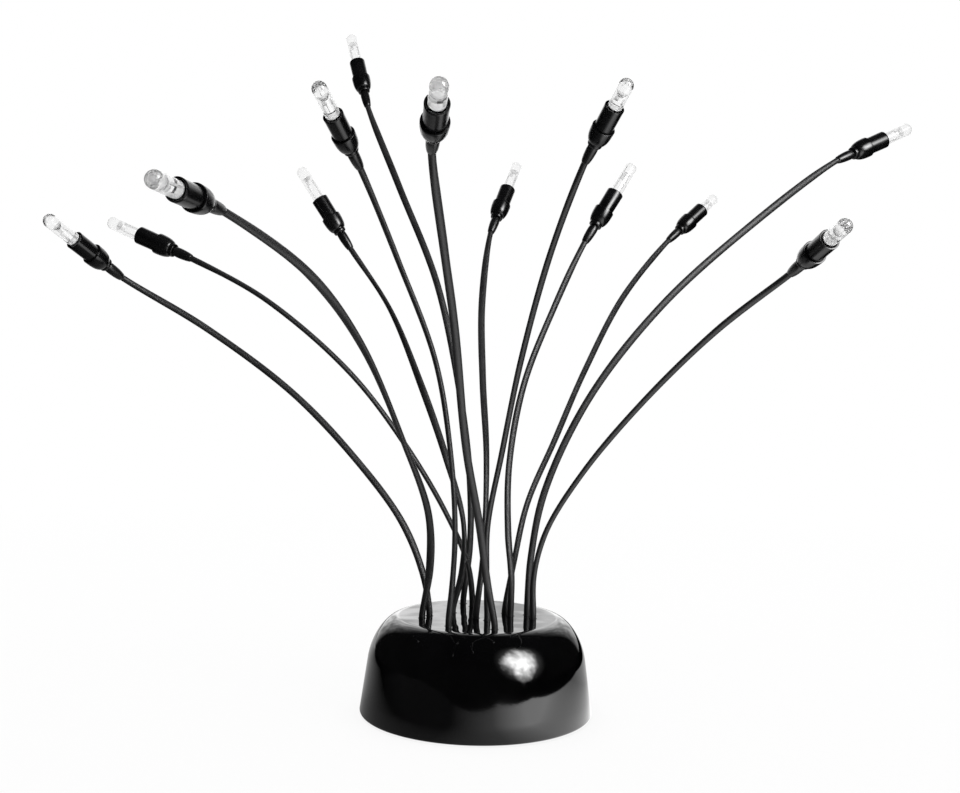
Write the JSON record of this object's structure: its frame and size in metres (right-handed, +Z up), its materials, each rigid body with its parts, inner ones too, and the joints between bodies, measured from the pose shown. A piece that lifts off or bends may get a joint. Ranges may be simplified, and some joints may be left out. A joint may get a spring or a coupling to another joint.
{
  "type": "pond light",
  "caption": "Pond light: low round gloss black base with a flat top, from which bendable wire stems fan out, each ending in a clear rod lamp in a small black holder.",
  "frame": {"origin": "middle of the foot pad's underside, on the surface that the light stands on", "axes": "+Z up, square to the base's flat top; -Y towards the viewer of the picture; +X to the viewer's right; the cable gland faces +Y"},
  "size_m": [0.3268, 0.3016, 0.2699],
  "materials": {
    "shell_black": "deep gloss black, polished",
    "sheath_grey": "satin dark grey sheath",
    "holder_black": "gloss black",
    "lamp_clear": "water clear, polished",
    "cover_black": "fine matte black",
    "seal_black": "soft black rubber",
    "pad_black": "matte black rubber",
    "ballast_grey": "dull grey iron",
    "resin_dark": "dark sealing resin, semi gloss",
    "board_green": "green lacquered board",
    "ferrite_dark": "dark ferrite",
    "can_bright": "bright drawn can",
    "terminal_green": "green moulded plastic",
    "gland_black": "fine matte black",
    "screw_steel": "plain stainless steel"
  },
  "bodies": {
    "base": {"base_shell": "shell_black", "bottom_cover": "cover_black", "cover_seal": "seal_black", "foot_pad": "pad_black", "ballast": "ballast_grey", "resin_fill": "resin_dark", "circuit_board": "board_green", "inductor": "ferrite_dark", "capacitor": "can_bright", "terminal_block": "terminal_green", "gland_body": "gland_black", "gland_seal": "seal_black", "gland_nut": "gland_black", "screw_1": "screw_steel", "screw_2": "screw_steel", "screw_3": "screw_steel", "screw_4": "screw_steel"},
    "stem_01_arm": {"stem_01": "sheath_grey", "holder_01": "holder_black", "lamp_01": "lamp_clear"},
    "stem_02_arm": {"stem_02": "sheath_grey", "holder_02": "holder_black", "lamp_02": "lamp_clear"},
    "stem_03_arm": {"stem_03": "sheath_grey", "holder_03": "holder_black", "lamp_03": "lamp_clear"},
    "stem_04_arm": {"stem_04": "sheath_grey", "holder_04": "holder_black", "lamp_04": "lamp_clear"},
    "stem_05_arm": {"stem_05": "sheath_grey", "holder_05": "holder_black", "lamp_05": "lamp_clear"},
    "stem_06_arm": {"stem_06": "sheath_grey", "holder_06": "holder_black", "lamp_06": "lamp_clear"},
    "stem_07_arm": {"stem_07": "sheath_grey", "holder_07": "holder_black", "lamp_07": "lamp_clear"},
    "stem_08_arm": {"stem_08": "sheath_grey", "holder_08": "holder_black", "lamp_08": "lamp_clear"},
    "stem_09_arm": {"stem_09": "sheath_grey", "holder_09": "holder_black", "lamp_09": "lamp_clear"},
    "stem_10_arm": {"stem_10": "sheath_grey", "holder_10": "holder_black", "lamp_10": "lamp_clear"},
    "stem_11_arm": {"stem_11": "sheath_grey", "holder_11": "holder_black", "lamp_11": "lamp_clear"},
    "stem_12_arm": {"stem_12": "sheath_grey", "holder_12": "holder_black", "lamp_12": "lamp_clear"},
    "stem_13_arm": {"stem_13": "sheath_grey", "holder_13": "holder_black", "lamp_13": "lamp_clear"}
  },
  "joints": [
    {"name": "stem_01_bend", "type": "hinge", "parent": "base", "child": "stem_01_arm", "pos_m": [-0.0174, -0.002, 0.0349], "axis": [-0.1359, -0.9907, 0], "range_deg": [-5, 20]},
    {"name": "stem_02_bend", "type": "hinge", "parent": "base", "child": "stem_02_arm", "pos_m": [-0.002, 0.016, 0.0349], "axis": [-0.0914, -0.9958, 0], "range_deg": [-4, 6]},
    {"name": "stem_03_bend", "type": "hinge", "parent": "base", "child": "stem_03_arm", "pos_m": [-0.0198, -0.006, 0.0349], "axis": [0.9109, -0.4127, 0], "range_deg": [-5, 20]},
    {"name": "stem_04_bend", "type": "hinge", "parent": "base", "child": "stem_04_arm", "pos_m": [-0.009, 0.004, 0.0349], "axis": [-0.8374, -0.5466, 0], "range_deg": [-12, 4]},
    {"name": "stem_05_bend", "type": "hinge", "parent": "base", "child": "stem_05_arm", "pos_m": [-0.01, -0.018, 0.0349], "axis": [0.5105, -0.8599, 0], "range_deg": [-12, 10]},
    {"name": "stem_06_bend", "type": "hinge", "parent": "base", "child": "stem_06_arm", "pos_m": [-0.0055, 0.021, 0.0349], "axis": [-0.8822, -0.4708, 0], "range_deg": [-8, 20]},
    {"name": "stem_07_bend", "type": "hinge", "parent": "base", "child": "stem_07_arm", "pos_m": [0.006, -0.022, 0.0349], "axis": [0.9778, -0.2095, 0], "range_deg": [-12, 20]},
    {"name": "stem_08_bend", "type": "hinge", "parent": "base", "child": "stem_08_arm", "pos_m": [-0.0005, -0.004, 0.0349], "axis": [-0.9997, 0.0263, 0], "range_deg": [-6, 20]},
    {"name": "stem_09_bend", "type": "hinge", "parent": "base", "child": "stem_09_arm", "pos_m": [0.0035, -0.008, 0.0349], "axis": [0.4768, 0.879, 0], "range_deg": [-6, 20]},
    {"name": "stem_10_bend", "type": "hinge", "parent": "base", "child": "stem_10_arm", "pos_m": [0.012, 0.001, 0.0349], "axis": [-0.8716, 0.4903, 0], "range_deg": [-10, 12]},
    {"name": "stem_11_bend", "type": "hinge", "parent": "base", "child": "stem_11_arm", "pos_m": [0.01, 0.005, 0.0349], "axis": [-0.8653, 0.5013, 0], "range_deg": [-10, 20]},
    {"name": "stem_12_bend", "type": "hinge", "parent": "base", "child": "stem_12_arm", "pos_m": [0.018, 0.003, 0.0349], "axis": [-0.4012, 0.916, 0], "range_deg": [-10, 20]},
    {"name": "stem_13_bend", "type": "hinge", "parent": "base", "child": "stem_13_arm", "pos_m": [0.02, -0.003, 0.0349], "axis": [0.4694, 0.883, 0], "range_deg": [-8, 20]}
  ]
}
